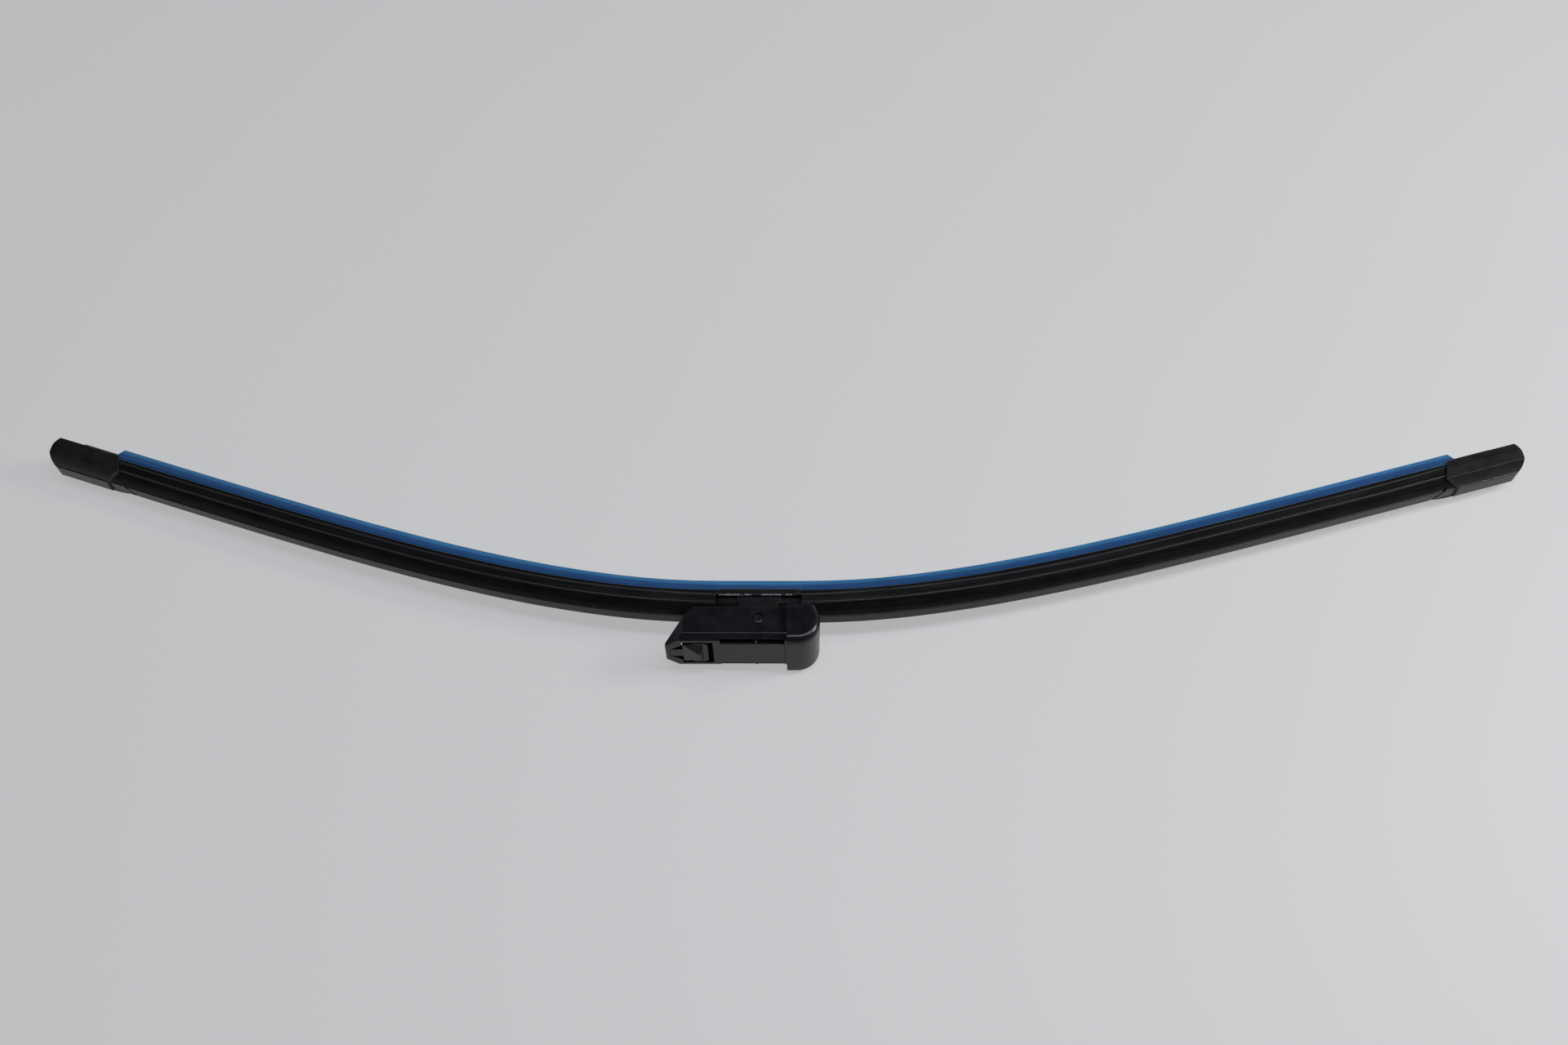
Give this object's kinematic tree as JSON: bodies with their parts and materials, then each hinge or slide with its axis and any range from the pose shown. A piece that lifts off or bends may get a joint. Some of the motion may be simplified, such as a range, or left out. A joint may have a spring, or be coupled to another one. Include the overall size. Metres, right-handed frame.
{
  "type": "wiper blade",
  "caption": "Flat windscreen wiper blade with a curved spring-backed rubber, air spoilers, end caps, a blue edge protector and a tilting push-button arm adapter.",
  "frame": {"origin": "on the adapter's arm seat, over the pivot, in the blade's middle plane", "axes": "+X along the blade away from the adapter's nose, +Y from the arm towards the wiping edge, +Z across the blade, up as it lies on its side"},
  "size_m": [0.5655, 0.0958, 0.0226],
  "materials": {
    "wiper_rubber": "matt black natural rubber",
    "spring_steel": "plain rolled spring steel",
    "protector": "smooth blue plastic extrusion, slightly see-through at its thin edge",
    "spoiler": "satin black elastomer with fine lengthwise extrusion lines",
    "end_cap": "finely grained black moulding",
    "base": "black painted folded steel",
    "pin": "plain steel",
    "adapter": "semi-gloss black moulding"
  },
  "bodies": {
    "blade": {"wiper_rubber": "wiper_rubber", "rail_upper": "spring_steel", "rail_lower": "spring_steel", "edge_protector": "protector", "spoiler_left": "spoiler", "spoiler_right": "spoiler", "end_cap_left": "end_cap", "end_cap_right": "end_cap", "base": "base", "pivot_pin": "pin"},
    "adapter": {"adapter": "adapter"},
    "latch": {"latch_button": "adapter"}
  },
  "joints": [
    {"name": "adapter_pivot", "type": "hinge", "parent": "blade", "child": "adapter", "pos_m": [0, 0.009, 0], "axis": [0, 0, 1], "range_deg": [-12, 12]},
    {"name": "latch_press", "type": "hinge", "parent": "adapter", "child": "latch", "pos_m": [-0.0302, 0.00105, 0], "axis": [0, 0, 1], "range_deg": [0, 11], "stiffness_Nm_per_rad": 0.4}
  ]
}
